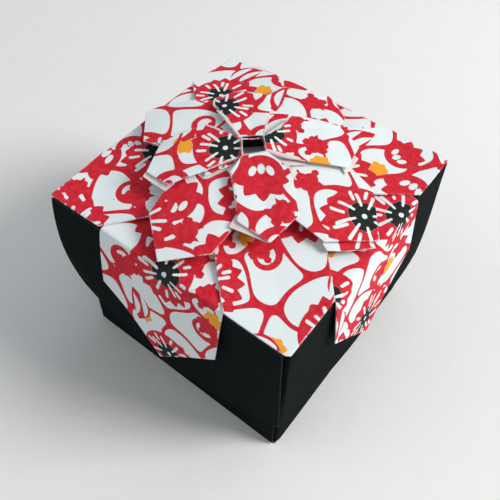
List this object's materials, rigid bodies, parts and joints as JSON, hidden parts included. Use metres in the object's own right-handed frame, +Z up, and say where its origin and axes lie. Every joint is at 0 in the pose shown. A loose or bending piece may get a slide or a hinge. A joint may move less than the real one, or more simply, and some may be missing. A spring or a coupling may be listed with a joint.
{
  "type": "masu box",
  "caption": "Square folded-paper gift box with a slip-on lid and a printed, layered paper flower whose flaps hang over the lid's walls.",
  "frame": {"origin": "centre of the underside, on the surface that the box stands on", "axes": "+Z up; the walls run along X and Y; the two walls that face Y hold the corner gussets"},
  "size_m": [0.0588, 0.061, 0.0514],
  "materials": {
    "black_paper": "matt black paper with fine fibres",
    "lid_paper": "matt black paper with fine fibres",
    "printed_paper": "soft white paper printed in red with a few black and orange spots"
  },
  "bodies": {
    "base": {"base_box": "black_paper"},
    "lid": {"lid_box": "lid_paper", "flower_cover": "printed_paper"}
  },
  "joints": [
    {"name": "lid_lift", "type": "slide", "parent": "base", "child": "lid", "axis": [0, 0, 1], "range_m": [0, 0.036]}
  ]
}
